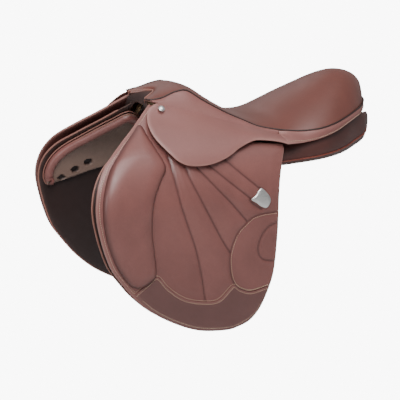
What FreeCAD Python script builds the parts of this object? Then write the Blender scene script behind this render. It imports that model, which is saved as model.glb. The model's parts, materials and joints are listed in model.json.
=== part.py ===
import FreeCAD, Part
import math
import os

from FreeCAD import Vector

# English close-contact jumping saddle, millimetres.
# Origin: the underside of the gullet lining, where the saddle sits on a rack.
# +X runs to the cantle, +Y to the off (right) side, +Z up.
# Everything is drawn on the off side and mirrored to the near side.

# Half-width of the flaps, seen from the front: a 45 degree slope, an arc, then a vertical drop.
SLOPE_SUM = 150.0        # Y + Z on the sloping stretch
ARC_Y, ARC_Z = 10.0, -72.0
ARC_R = 150.0
SLOPE_END_Z = ARC_Z + ARC_R * math.sin(math.radians(45))
ROOT2 = math.sqrt(2)

# Fold line along which the flap and the skirt lift.
FOLD_FRONT = Vector(-190, 58, 106)
FOLD_REAR = Vector(50, 106, 31)

# Depths measured inwards from the flap's outer face (outer, inner).
KNEE_ROLL_DEPTH = (-12.0, -0.5)
WEAR_BAND_DEPTH = (-2.2, -0.4)
KEEPER_PLATE_DEPTH = (-3.2, -0.8)
FLAP_FACE_DEPTH = (0.0, 3.5)
FLAP_DEPTH = (3.8, 7.5)
BILLET_DEPTH = (12.0, 16.0)
BLOCK_DEPTH = (9.5, 20.4)
GIRTH_WEB_DEPTH = (17.0, 19.0)
SWEAT_FLAP_DEPTH = (21.0, 24.5)
PANEL_FRONT_DEPTH = (26.0, 38.0)

LEATHER = 2.6            # skirt thickness
LOBE_CLEAR = 0.8         # from the fold line down to the lifting lobe
LOBE_REAR_X = 48.0       # the lobe ends here, and the tail starts 2 mm behind it
BAND_CLEAR = 5.0         # from the fold line up to the fixed band, so that the lobe swings clear
COVER = 2.5              # seat cover thickness
GAP = 0.4                # space between neighbouring layers

# Girth straps (billets).
BILLET_X = {"front": -108.0, "middle": -70.0, "rear": -32.0}
BILLET_WIDTH = 25.0
BILLET_TOP_Z = 2.0
BILLET_END_Z = -280.0
BILLET_HOLE_R = 2.5
BILLET_HOLES = 6
BILLET_HOLE_PITCH = 25.0
BILLET_LAST_HOLE_Z = -255.0

# Tree: side line of its top face (X, Z) and its thickness.
TREE_LINE = [(-170, 99), (-150, 103), (-130, 104), (-100, 98), (-64, 76), (-39, 60), (-14, 48), (11, 42),
             (80, 42), (139, 56), (192, 78), (240, 94), (264, 94)]
TREE_THICK = 12.0
TREE_OUTER = [(-168, 0), (-166, 20), (-150, 34), (-125, 42), (-95, 44), (-60, 48), (-14, 60), (40, 80),
              (90, 92),
              (140, 93), (190, 76), (230, 46), (252, 20), (258, 0)]
TREE_INNER = [(-118, 0), (-112, 18), (-90, 26), (-50, 28), (0, 38), (50, 56), (100, 66), (150, 62),
              (192, 40),
              (212, 16), (216, 0)]

# Seat stations: X, half-width at the welt, height of the welt, height of the centre line.
SEAT = [(-188, 38, 106, 113), (-180, 50, 106, 118), (-160, 52, 109, 122), (-136, 49, 116, 125),
        (-112, 50, 117, 123),
        (-88, 57, 101, 114), (-64, 64, 86, 97), (-39, 70, 72, 82), (-14, 78, 60, 70), (11, 86, 48, 64),
        (36, 95, 42, 64),
        (62, 104, 38, 70), (90, 112, 36, 81), (125, 119, 38, 97), (160, 115, 44, 112), (192, 101, 50, 122),
        (219, 85, 55, 127), (242, 67, 58, 124), (262, 45, 60, 116),
        (276, 24, 61, 103), (283, 9, 61, 92)]
SEAT_HEM = 4.0           # how far the cover reaches below the welt line

# Panel stations: X, then top inner, top middle, top outer, bottom outer, bottom middle, bottom inner (Y, Z).
PANEL = [(-152, (24, 83), (70, 42), (112, -6), (106, -36), (56, 26), (22, 62)),
         (-110, (26, 66), (68, 36), (110, -2), (108, -34), (62, 6), (26, 36)),
         (-60, (30, 34), (66, 26), (106, 2), (108, -30), (68, -14), (30, 4)),
         (-10, (32, 16), (66, 18), (102, 8), (114, -26), (74, -26), (33, -8)),
         (40, (32, 13), (68, 17), (102, 10), (119, -22), (78, -27), (33, -11)),
         (90, (32, 13), (70, 18), (110, 16), (119, -21), (78, -26), (33, -12)),
         (140, (31, 14), (68, 22), (112, 22), (114, -20), (74, -25), (32, -12)),
         (190, (29, 18), (60, 28), (97, 32), (96, -18), (62, -22), (30, -10)),
         (230, (26, 24), (48, 36), (74, 42), (74, -12), (50, -16), (27, -6)),
         (262, (22, 32), (38, 42), (54, 46), (56, -4), (40, -8), (23, 2)),
         (282, (15, 36), (24, 42), (34, 44), (36, 12), (25, 8), (16, 14))]
PANEL_SKIN = 2.5

# Outlines seen from the side (X, Z).
FLAP_EDGE = [(-183, 102), (-203, 88), (-231, 67), (-265, 45), (-300, 19), (-320, -10), (-329, -41),
             (-330, -69),
             (-324, -102), (-315, -135), (-303, -165), (-281, -197), (-259, -224), (-226, -254),
             (-190, -277),
             (-155, -294), (-125, -303), (-83, -308), (-59, -305), (-35, -296), (-14, -274), (4, -237),
             (14, -201),
             (20, -130), (22, -60), (30, -20), (44, 13)]
KNEE_ROLL_EDGE = [(-224, 62), (-262, 37), (-296, 8), (-313, -25), (-319, -60), (-315, -98), (-305, -135),
                  (-291, -168), (-270, -194)]
KNEE_ROLL_SEAM = [(-221, -178), (-225, -143), (-229, -96), (-225, -52), (-210, -21), (-195, -2),
                  (-196, 16), (-203, 31), (-224, 62)]
WEAR_TOP = [(-262, -211), (-240, -196), (-220, -186), (-199, -211), (-167, -235), (-126, -247),
            (-99, -246), (-70, -226),
            (-35, -242), (2, -236)]
WEAR_BOTTOM = [(2, -236), (-16, -271), (-36, -292), (-60, -301), (-83, -304), (-125, -299), (-155, -290),
               (-190, -273),
               (-226, -250), (-256, -221), (-262, -211)]
LOBE_EDGE = [(-188, 112), (-197, 98), (-206, 74), (-202, 52), (-186, 30), (-172, 14), (-156, 7),
             (-136, 4), (-108, 5),
             (-77, 11), (-47, 20), (-17, 27), (10, 26), (34, 21), (52, 16)]
# Lower edge of the skirt's tail: (Y, Z) at each seat station X.
TAIL_FOOT = {62: (136, 14), 90: (125, 13), 125: (124, 19), 160: (119, 29), 192: (106, 38), 219: (91, 44),
             242: (73, 47), 262: (51, 49), 276: (30, 50), 283: (14, 50)}
SHIELD = [(-17, -50), (2, -72), (-4, -86), (-25, -76), (-36, -67)]
PANEL_FRONT_EDGE = [(-192, 72), (-235, 44), (-282, 12), (-308, -22), (-316, -52), (-312, -76)]
PANEL_FRONT_LOWER = [(-312, -76), (-270, -66), (-216, -51), (-153, -38)]
KNEE_BLOCK = [(-292, -4), (-304, -55), (-299, -105), (-280, -150), (-262, -152), (-272, -105),
              (-276, -55), (-272, -4)]
THIGH_BLOCK = [(0, -92), (13, -96), (14, -140), (8, -188), (-4, -190), (-2, -140)]

# Stirrup bar, drawn flat and then laid on the 45 degree slope at this point.
SLOPE_POINT = Vector(0, 92, 58)
BAR_X = (-122.0, -70.0)
BAR_Z = (-19.0, -12.0)   # along the slope
BAR_PIN_X, BAR_PIN_Z = -67.0, -15.5
BAR_PLATE_OUT = -11.7    # the plate's inner face, measured out of the slope
BAR_GAP = 6.5            # from the bar to its plate
BAR_THICK = 4.5
PLATE_THICK = 3.0
BAR_BACK = BAR_PLATE_OUT + PLATE_THICK + BAR_GAP
EAR_THICK = 1.8          # the bar's ear, and the catch beside it
CATCH_REACH = 15.0       # from the pin to the catch's end
CATCH_NOSE_R = 2.4
CATCH_PIN_R = 1.5
RUNNING = 0.05           # radial clearance of the catch on its pin, and of rivets in their holes
RIVET_R = 2.5
SCREW_R = 2.0


def profile_y(z, depth):
    """Half-width at height z of the surface that lies depth inside the flap's outer face."""
    if z > ARC_Z + (ARC_R - depth) * math.sin(math.radians(45)):
        return SLOPE_SUM - z - depth * ROOT2
    if z > ARC_Z:
        return ARC_Y + math.sqrt((ARC_R - depth) ** 2 - (z - ARC_Z) ** 2)
    return ARC_Y + ARC_R - depth


def edge(points):
    """A straight edge through two points, or a smooth one through more."""
    if len(points) == 2:
        return Part.LineSegment(points[0], points[1]).toShape()
    curve = Part.BSplineCurve()
    curve.interpolate(points)
    return curve.toShape()


def side_prism(runs, y_from=0.0, y_to=260.0):
    """A closed outline in X and Z, made of runs that share their ends, pushed through along Y."""
    edges = [edge([Vector(x, y_from, z) for x, z in run]) for run in runs]
    return Part.Face(Part.Wire(edges)).extrude(Vector(0, y_to - y_from, 0))


def plan_prism(points, z_from, z_to):
    """A symmetric plan outline, given for +Y from front to rear, pushed through along Z."""
    half = [Vector(x, y, z_from) for x, y in points]
    mirrored = [Vector(x, -y, z_from) for x, y in reversed(points)]
    wire = Part.Wire([edge(half), edge(mirrored)])
    return Part.Face(wire).extrude(Vector(0, 0, z_to - z_from))


def layer_band(depths, x_from=-340.0, x_to=70.0, z_low=-320.0, z_top=140.0):
    """The layer between two depths, along the whole side."""
    outer, inner = depths
    rim = []
    for depth in (outer, inner):
        radius = ARC_R - depth
        bend = Vector(x_from, ARC_Y + radius / ROOT2, ARC_Z + radius / ROOT2)
        middle = math.radians(22.5)
        arc_mid = Vector(x_from, ARC_Y + radius * math.cos(middle), ARC_Z + radius * math.sin(middle))
        low = Vector(x_from, ARC_Y + radius, ARC_Z)
        rim.append([Vector(x_from, profile_y(z_top, depth), z_top), bend, arc_mid, low, Vector(x_from, low.y, z_low)])
    edges = []
    for top, bend, arc_mid, low, foot in rim:
        edges += [Part.LineSegment(top, bend).toShape(), Part.Arc(bend, arc_mid, low).toShape()]
        edges.append(Part.LineSegment(low, foot).toShape())
    edges.append(Part.LineSegment(rim[0][0], rim[1][0]).toShape())
    edges.append(Part.LineSegment(rim[0][4], rim[1][4]).toShape())
    wire = Part.Wire(Part.__sortEdges__(edges))
    return Part.Face(wire).extrude(Vector(x_to - x_from, 0, 0))


def layer(depths, runs):
    """A piece of leather or padding: one layer cut to an outline."""
    return layer_band(depths).common(side_prism(runs))


def fold_axes():
    """Unit vectors along the fold line, down the slope beside it, and out of the slope."""
    along = (FOLD_REAR - FOLD_FRONT).normalize()
    out = Vector(0, 1, 1).normalize()
    down = out.cross(along).normalize()
    if down.z > 0:
        down = down * -1
    return along, down, out


def beside_fold(start, end):
    """A thick slab on the slope, from start to end millimetres below the fold line."""
    along, down, out = fold_axes()
    corner = FOLD_FRONT - along * 60 - out * 340
    near_end, far_end = corner + down * start, corner + down * end
    quad = [near_end, far_end, far_end + along * 520, near_end + along * 520]
    return Part.Face(Part.makePolygon(quad + quad[:1])).extrude(out * 460)


def fold_point(x):
    """The point of the fold line at station x."""
    share = (x - FOLD_FRONT.x) / (FOLD_REAR.x - FOLD_FRONT.x)
    return FOLD_FRONT + (FOLD_REAR - FOLD_FRONT) * share


def row_normals(row, before, after):
    """Outward directions at a row's points, kept so that the thickened row stays flat."""
    normals = []
    for j in range(len(row)):
        across = row[min(j + 1, len(row) - 1)] - row[max(j - 1, 0)]
        normals.append((after[j] - before[j]).cross(across).normalize())
    if len(row) == 2:
        return [(normals[0] + normals[1]).normalize()] * 2
    return [Vector(0, n.y, n.z).normalize() for n in normals]


def sheet(rows, thickness, ruled=False):
    """A sheet lofted through rows of points, each from its top edge to its bottom edge. It is thickened inwards."""
    wires = []
    last = len(rows) - 1
    for i, row in enumerate(rows):
        before, after = rows[max(i - 1, 0)], rows[min(i + 1, last)]
        inner = [point - normal * thickness for point, normal in zip(row, row_normals(row, before, after))]
        wires.append(Part.Wire([edge(row), edge([row[-1], inner[-1]]), edge(inner[::-1]), edge([inner[0], row[0]])]))
    return Part.makeLoft(wires, True, ruled)


def inset(points, distance):
    """The corners of a convex-like polygon moved in by distance. The corners run clockwise seen from the front."""
    moved = []
    count = len(points)
    for i in range(count):
        a, b, c = (Vector(*points[(i + k) % count], 0) for k in (-1, 0, 1))
        first, second = (b - a).normalize(), (c - b).normalize()
        in_first, in_second = Vector(first.y, -first.x, 0), Vector(second.y, -second.x, 0)
        bisector = (in_first + in_second).normalize()
        reach = distance / max(bisector.dot(in_first), 0.5)
        moved.append((b.x + bisector.x * reach, b.y + bisector.y * reach))
    return moved


def on_slope(shape):
    """Lays a piece drawn flat (Y out of the slope, Z up the slope) on the side's 45 degree slope."""
    placed = shape.copy()
    placed.rotate(Vector(0, 0, 0), Vector(1, 0, 0), 45)
    placed.translate(SLOPE_POINT)
    return placed


def block(x, y, z):
    """A box from its three ranges."""
    return Part.makeBox(x[1] - x[0], y[1] - y[0], z[1] - z[0], Vector(x[0], y[0], z[0]))


def rod(x, z, y, radius):
    """A round rod along Y."""
    return Part.makeCylinder(radius, y[1] - y[0], Vector(x, y[0], z), Vector(0, 1, 0))


def tree_band(low, high):
    """A band that follows the tree's side line, between two heights above it, right across the saddle."""
    top = [(x, z + high) for x, z in TREE_LINE]
    bottom = [(x, z + low) for x, z in TREE_LINE]
    return side_prism([top, [top[-1], bottom[-1]], bottom[::-1], [bottom[0], top[0]]], -130, 130)


def tree_frame():
    """The laminated beech frame: a violin-shaped ring that dips at the seat."""
    ring = plan_prism(TREE_OUTER, 0, 130).cut(plan_prism(TREE_INNER, -10, 140))
    return ring.common(tree_band(-TREE_THICK, 0))


def seat_section(station, shrink, hem):
    """One closed section of the seat: a crown over a flat bottom."""
    x, width, welt_z, centre_z = station
    width, centre_z = width - shrink, centre_z - shrink
    base_z = min(welt_z, centre_z - 1)
    steps = (-1, -0.96, -0.85, -0.65, -0.35, 0, 0.35, 0.65, 0.85, 0.96, 1)
    crown = []
    for share in steps:
        rise = (1 - abs(share) ** 2.4) ** (1 / 1.5)
        crown.append(Vector(x, share * width, base_z + rise * (centre_z - base_z)))
    left, right = Vector(x, -width, welt_z - hem), Vector(x, width, welt_z - hem)
    return Part.Wire([edge(crown), edge([crown[-1], right]), edge([right, left]), edge([left, crown[0]])])


def seat_loft(shrink, hem):
    """The seat's shape, shrunk all round by shrink, with its bottom hem millimetres below the welt line."""
    stations = [list(s) for s in SEAT]
    stations[0][0] += shrink
    stations[-1][0] -= shrink
    return Part.makeLoft([seat_section(s, shrink, hem) for s in stations], True, False)


def seat_foam():
    """The foam between the webs and the cover."""
    top = [(x, z + 2.6) for x, z in TREE_LINE]
    around = [top[-1], (300, top[-1][1]), (300, 0), (-210, 0), (-210, top[0][1]), top[0]]
    tunnel = side_prism([top] + [[a, b] for a, b in zip(around, around[1:])], -130, 130)
    return seat_loft(COVER + GAP, SEAT_HEM).cut(tunnel)


def seat_cover():
    """The blocked leather seat, open underneath."""
    return seat_loft(0, SEAT_HEM).cut(seat_loft(COVER, 30))


def welt_path(out, drop):
    """The line beside the seat's edge on the off side, from the pommel to the cantle's centre."""
    path = []
    stations = SEAT[1:]
    for i, (x, width, welt_z, _) in enumerate(stations):
        before, after = stations[max(i - 1, 0)], stations[min(i + 1, len(stations) - 1)]
        along = Vector(after[0] - before[0], after[1] - before[1], 0).normalize()
        path.append(Vector(x - along.y * out, width + along.x * out, welt_z - drop))
    path.append(Vector(SEAT[-1][0] + out + 1, 0, SEAT[-1][2] - drop))
    return path


def both_sides(path):
    """A line given for the off side, continued round the cantle to the near side."""
    return path + [Vector(p.x, -p.y, p.z) for p in reversed(path[:-1])]


def seat_welt():
    """The piping between the seat and the skirts."""
    top, bottom = both_sides(welt_path(3.6, 0)), both_sides(welt_path(3.6, 3.0))
    return sheet([list(pair) for pair in zip(top, bottom)], 3.0, ruled=True).cut(seat_loft(0, 30))


def skirt_row(x, welt):
    """One row of the skirt's lifting lobe, from above the fold line to below its lower edge."""
    fold = fold_point(x) + Vector(0, 1, 1).normalize() * (LEATHER / 2)
    lift = (welt - fold) * (20 / max((welt - fold).Length, 20))
    points = [fold + lift, fold]
    for share, depth in ((0.18, -10.5), (0.4, -13.5), (0.7, -13.5)):
        z = fold.z * (1 - share)
        points.append(Vector(x, max(profile_y(z, depth), fold.y + 8), z))
    points.append(Vector(x, profile_y(-14, -13.5), -14))
    return points


def skirt_lobe():
    """The front part of the skirt, which lifts off the stirrup bar."""
    stations = (-212, -180, -150, -120, -90, -60, -30, 0, 30, 56)
    rows = [skirt_row(x, Vector(x, fold_point(x).y - 14, fold_point(x).z + 14)) for x in stations]
    above = [LOBE_EDGE[-1], (52, 120), (-188, 140), LOBE_EDGE[0]]
    outline = side_prism([LOBE_EDGE] + [[a, b] for a, b in zip(above, above[1:])])
    lobe = sheet(rows, LEATHER).common(outline).common(beside_fold(LOBE_CLEAR, 400))
    return lobe.common(block((-220, LOBE_REAR_X), (0, 200), (-20, 160)))


def skirt_band():
    """The fixed part of the skirt: a band along the welt that widens into the tail under the cantle."""
    rows = []
    for top, station in zip(welt_path(2.2, SEAT_HEM + GAP), SEAT[1:]):
        x = station[0]
        if x in TAIL_FOOT:
            foot = Vector(x + (5 if x > 250 else 0), *TAIL_FOOT[x])
        else:
            foot = fold_point(x) + Vector(0, 1, 1).normalize() * (LEATHER / 2)
            foot = foot + (foot - top) * (6 / (foot - top).Length)
        rows.append([top, foot])
    rows.append([Vector(289, 1, 56), Vector(291, 1, 50)])
    band = sheet(rows, LEATHER, ruled=True).cut(seat_loft(0, SEAT_HEM)).cut(seat_welt())
    keep_rear = block((50, 320), (0, 200), (0, 160))
    front = band.common(block((-185, 50), (0, 200), (0, 160))).common(beside_fold(-200, -BAND_CLEAR))
    return front.fuse(band.common(keep_rear)).removeSplitter()


def flap_runs():
    """The flap's outline, with its top cut away round the stirrup bar."""
    top = [(44, 13), (44, 20), (-38, 32), (-132, 34), (-132, 96), (-178, 128), (-183, 102)]
    return [FLAP_EDGE] + [[a, b] for a, b in zip(top, top[1:])]


def flap_layer(depths):
    """One leather of the flap."""
    return layer(depths, flap_runs()).common(beside_fold(0.5, 500))


def sweat_flap():
    """The under flap that lies against the horse."""
    top = [(44, 13), (20, 5), (-168, 5), (-186, 40), (-186, 96), (-183, 102)]
    runs = [FLAP_EDGE] + [[a, b] for a, b in zip(top, top[1:])]
    return layer(SWEAT_FLAP_DEPTH, runs).common(block((-340, 24), (0, 200), (-320, 98)))


def closed_runs(points):
    """Straight runs round a closed outline."""
    return [[a, b] for a, b in zip(points, points[1:] + points[:1])]


def panel_front():
    """The part of the panel that reaches forward under the knee."""
    top = [(-153, -38), (-153, 66), (-192, 72)]
    runs = [PANEL_FRONT_EDGE, PANEL_FRONT_LOWER] + [[a, b] for a, b in zip(top, top[1:])]
    return layer(PANEL_FRONT_DEPTH, runs)


def panel_loft(shrink):
    """The bearing part of the panel, shrunk all round and kept inside the sweat flap."""
    wires = []
    for i, station in enumerate(PANEL):
        x = station[0] + (shrink if i == 0 else 0) - (shrink if i == len(PANEL) - 1 else 0)
        corners = [Vector(x, y, z) for y, z in inset(station[1:], shrink)] if shrink else \
            [Vector(x, y, z) for y, z in station[1:]]
        wires.append(Part.makePolygon(corners + corners[:1]))
    outside = layer_band((-20, SWEAT_FLAP_DEPTH[1] + 1 + shrink), x_to=26)
    return Part.makeLoft(wires, True, False).cut(outside)


def billet(x):
    """One girth strap, with its row of holes and a tapered end."""
    half = BILLET_WIDTH / 2
    outline = [(x - half, BILLET_TOP_Z), (x - half, BILLET_END_Z + 18),
               (x - 5, BILLET_END_Z), (x + 5, BILLET_END_Z),
               (x + half, BILLET_END_Z + 18), (x + half, BILLET_TOP_Z)]
    strap = layer(BILLET_DEPTH, closed_runs(outline))
    for i in range(BILLET_HOLES):
        strap = strap.cut(rod(x, BILLET_LAST_HOLE_Z + i * BILLET_HOLE_PITCH, (120, 170), BILLET_HOLE_R))
    return strap


def buckle_guard():
    """The leather guard over the girth buckles, with its loop round the middle strap."""
    x = BILLET_X["middle"]
    face_y = profile_y(-100, 8.4)
    strap_out, strap_in = profile_y(-100, BILLET_DEPTH[0]), profile_y(-100, BILLET_DEPTH[1])
    wall = BILLET_WIDTH / 2 + 1.0
    guard = block((x - 50, x + 50), (strap_out + 0.8, face_y), (-158, -78))
    loop = block((x - wall - 1.6, x + wall + 1.6), (strap_in - 2.4, face_y - 1), (-128, -104))
    loop = loop.cut(block((x - wall, x + wall), (strap_in - 0.8, strap_out + 0.8), (-130, -100)))
    return guard.fuse(loop).removeSplitter()


def tree_point():
    """The tree's leg below the head."""
    return on_slope(block((-160, -126), (-22, -12), (-34, 36)))


def bar_rivets(radius):
    """The rivets that hold the stirrup bar's plate to the tree point."""
    places = [(x, z) for x in (-152, -134) for z in (-14, 6)]
    return [on_slope(rod(x, z, (-21.5, -8.3), radius)) for x, z in places]


def stirrup_bar():
    """The forged bar on its plate. The leather hangs on the bar, between the two."""
    plate = block((-158, BAR_X[1]), (BAR_PLATE_OUT, BAR_PLATE_OUT + PLATE_THICK), (-20, 12))
    bar = block((BAR_X[0] - 8, BAR_X[1]), (BAR_BACK, BAR_BACK + BAR_THICK), BAR_Z)
    bend = block((BAR_X[0] - 8, BAR_X[0]), (BAR_PLATE_OUT + 1, BAR_BACK + 1), BAR_Z)
    ear = block((BAR_X[1] - 1, BAR_PIN_X + 4), (BAR_BACK, BAR_BACK + EAR_THICK), BAR_Z)
    shape = plate.fuse([bar, bend, ear]).removeSplitter()
    shape = shape.cut(rod(BAR_PIN_X, BAR_PIN_Z, (BAR_BACK - 5, BAR_BACK + 20), CATCH_PIN_R))
    placed = on_slope(shape)
    for hole in bar_rivets(RIVET_R + RUNNING):
        placed = placed.cut(hole)
    return placed


def bar_catch():
    """The thumb lever at the end of the stirrup bar."""
    low = BAR_BACK + EAR_THICK + GAP
    faces = (low, low + EAR_THICK)
    lever = block((BAR_PIN_X + 1, BAR_PIN_X + CATCH_REACH), faces, BAR_Z)
    lever = lever.fuse(rod(BAR_PIN_X, BAR_PIN_Z, faces, CATCH_NOSE_R)).removeSplitter()
    return on_slope(lever.cut(rod(BAR_PIN_X, BAR_PIN_Z, (low - 5, low + 15), CATCH_PIN_R + RUNNING)))


def bar_catch_pin():
    """The pin that the catch turns on."""
    return on_slope(rod(BAR_PIN_X, BAR_PIN_Z, (BAR_BACK, BAR_BACK + 2 * EAR_THICK + 2 * GAP), CATCH_PIN_R))


def point_pocket():
    """The leather pocket on the panel that holds the end of the tree point."""
    cup = block((-163, -123), (-25.4, -9.6), (-40, -26))
    return on_slope(cup.cut(block((-161, -125), (-23.6, -11.4), (-38, -20))))


def gullet_plate():
    """The steel plate under the head, bent over the withers."""
    outer = [(0, 87.4), (30.9, 87.4), (78.3, 40)]
    inner = [(74.8, 40), (30.3, 84.5), (0, 84.5)]
    half = [Vector(-158, y, z) for y, z in outer + inner]
    right = Part.Face(Part.makePolygon(half + half[:1])).extrude(Vector(30, 0, 0))
    return right.fuse(mirrored(right)).removeSplitter()


def gullet_screws(radius):
    """The two screws that hold the gullet plate under the head."""
    return [Part.makeCylinder(radius, 16, Vector(-143, y, 81), Vector(0, 0, 1)) for y in (-18, 18)]


def pommel_facing():
    """The leather that closes the front of the head."""
    half = [(0, 100), (36, 100), (54, 82), (74, 61), (52, 64), (26, 89), (0, 89)]
    corners = [Vector(-180, y, z) for y, z in half]
    right = Part.Face(Part.makePolygon(corners + corners[:1])).extrude(Vector(LEATHER, 0, 0))
    return right.fuse(mirrored(right)).removeSplitter()


def gullet_lining():
    """The strip of leather that spans the channel between the panels."""
    line = [(-150, 72), (-110, 48), (-60, 18), (-25, 3), (-5, 0), (60, 0), (120, 0), (190, 1), (230, 7), (260, 17)]
    top = [(x, z + 2.5) for x, z in line]
    strip = side_prism([line, [line[-1], top[-1]], top[::-1], [top[0], line[0]]], -17, 17)
    return strip


def mirrored(shape):
    """The near-side copy of an off-side piece."""
    return shape.mirror(Vector(0, 0, 0), Vector(0, 1, 0))


def side_pieces():
    """Every piece that the saddle has on both sides, drawn on the off side."""
    point = tree_point()
    for hole in bar_rivets(RIVET_R + RUNNING):
        point = point.cut(hole)
    pieces = {
        "tree_point": point,
        "spring_steel": spring_steel(),
        "stirrup_bar": stirrup_bar(),
        "bar_catch": bar_catch(),
        "point_pocket": point_pocket(),
        "girth_web": layer(GIRTH_WEB_DEPTH, closed_runs([(-122, 64), (-122, -30), (-17, -30), (-17, 50)])),
        "skirt_band": skirt_band(),
        "skirt": skirt_lobe(),
        "saddle_nail": on_slope(rod(-172, 37, (13.6, 16.2), 6)),
        "flap": flap_layer(FLAP_DEPTH),
        "flap_face": flap_layer(FLAP_FACE_DEPTH),
        "knee_roll": layer(KNEE_ROLL_DEPTH, [KNEE_ROLL_EDGE, [KNEE_ROLL_EDGE[-1], KNEE_ROLL_SEAM[0]], KNEE_ROLL_SEAM]),
        "wear_band": layer(WEAR_BAND_DEPTH, [WEAR_TOP, WEAR_BOTTOM]),
        "keeper_plate": layer(KEEPER_PLATE_DEPTH, closed_runs(SHIELD)),
        "sweat_flap": sweat_flap(),
        "knee_block": layer(BLOCK_DEPTH, closed_runs(KNEE_BLOCK)),
        "thigh_block": layer(BLOCK_DEPTH, closed_runs(THIGH_BLOCK)),
        "panel_front": panel_front(),
        "panel": panel_loft(0).cut(panel_loft(PANEL_SKIN)),
        "panel_wool": panel_loft(PANEL_SKIN + GAP),
        "buckle_guard": buckle_guard(),
    }
    for place, x in BILLET_X.items():
        pieces[place + "_billet"] = billet(x)
    return pieces


def spring_steel():
    """The steel strip riveted under the rail."""
    strip = tree_band(-TREE_THICK - 2.2, -TREE_THICK - 0.4)
    plan = [(-80, 30), (-14, 42), (70, 72), (70, 84), (-14, 54), (-80, 42)]
    corners = [Vector(x, y, 0) for x, y in plan]
    return strip.common(Part.Face(Part.makePolygon(corners + corners[:1])).extrude(Vector(0, 0, 120)))


def centre_pieces():
    """The pieces that lie across the saddle."""
    screws = gullet_screws(SCREW_R)
    frame = tree_frame()
    plate = gullet_plate()
    for hole in gullet_screws(SCREW_R + RUNNING):
        frame = frame.cut(hole)
        plate = plate.cut(hole)
    rivets = bar_rivets(RIVET_R)
    pin = bar_catch_pin()
    webs = block((-138, 236), (-20, 20), (0, 130))
    for x in (0, 60):
        webs = webs.fuse(block((x - 25, x + 25), (-60 - x / 4, 60 + x / 4), (0, 130)))
    return {
        "tree_frame": frame,
        "gullet_plate": plate,
        "gullet_screws": Part.makeCompound(screws),
        "head_plate": tree_band(0.3, 2.2).common(block((-164, -141), (-28, 28), (0, 130))),
        "tree_rivets": Part.makeCompound(rivets + [mirrored(r) for r in rivets]),
        "bar_catch_pins": Part.makeCompound([pin, mirrored(pin)]),
        "seat_webs": tree_band(0.3, 2.0).common(webs.removeSplitter()),
        "seat_foam": seat_foam(),
        "seat_cover": seat_cover(),
        "seat_welt": seat_welt(),
        "pommel_facing": pommel_facing(),
        "gullet_lining": gullet_lining(),
    }


def main():
    os.makedirs("parts", exist_ok=True)
    for name, shape in centre_pieces().items():
        shape.exportStep("parts/" + name + ".step")
    for name, shape in side_pieces().items():
        shape.exportStep("parts/off_" + name + ".step")
        mirrored(shape).exportStep("parts/near_" + name + ".step")


main()
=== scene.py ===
import json
import math

import bmesh
import bpy
import numpy as np
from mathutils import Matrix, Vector

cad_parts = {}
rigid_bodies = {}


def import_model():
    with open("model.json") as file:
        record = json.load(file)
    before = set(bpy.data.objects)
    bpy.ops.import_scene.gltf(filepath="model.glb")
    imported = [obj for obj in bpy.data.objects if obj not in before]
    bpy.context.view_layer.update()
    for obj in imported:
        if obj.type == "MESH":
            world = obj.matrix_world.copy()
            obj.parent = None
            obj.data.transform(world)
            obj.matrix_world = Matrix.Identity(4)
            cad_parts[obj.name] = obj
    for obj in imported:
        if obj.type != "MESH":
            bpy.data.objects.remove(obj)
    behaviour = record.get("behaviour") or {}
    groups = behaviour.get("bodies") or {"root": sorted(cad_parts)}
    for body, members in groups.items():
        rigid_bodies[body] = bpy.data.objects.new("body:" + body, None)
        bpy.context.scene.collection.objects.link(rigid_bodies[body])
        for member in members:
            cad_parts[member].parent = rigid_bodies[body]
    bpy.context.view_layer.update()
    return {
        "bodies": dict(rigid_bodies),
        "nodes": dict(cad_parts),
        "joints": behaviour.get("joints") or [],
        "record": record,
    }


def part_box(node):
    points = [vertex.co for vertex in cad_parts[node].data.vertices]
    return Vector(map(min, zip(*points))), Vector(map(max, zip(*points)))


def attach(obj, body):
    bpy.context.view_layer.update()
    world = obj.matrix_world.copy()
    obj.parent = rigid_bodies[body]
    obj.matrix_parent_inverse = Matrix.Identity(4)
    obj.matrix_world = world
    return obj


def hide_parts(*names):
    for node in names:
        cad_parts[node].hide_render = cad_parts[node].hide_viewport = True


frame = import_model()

# Lengths are millimetres, turned into metres when a mesh is made.
MM = 0.001
SIDES = (("near", -1), ("off", 1))

# Half-width of the saddle's side seen from the front: a slope, an arc, then a straight drop.
SLOPE_SUM = 150.0
ARC_Y, ARC_Z, ARC_R = 10.0, -72.0, 150.0
HALF_ROOT = math.sqrt(0.5)
FOLD_FRONT, FOLD_REAR = (-190.0, 58.0, 106.0), (50.0, 106.0, 31.0)

# Camera, in degrees and metres.
CAMERA_AZIMUTH, CAMERA_RISE, CAMERA_DISTANCE, CAMERA_LENS = -27.0, 11.8, 2.6, 125.5
CAMERA_LEFT, CAMERA_DOWN = 0.0537, 0.182
SEAT_MIDDLE = (0, 0, 0.075)

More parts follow.
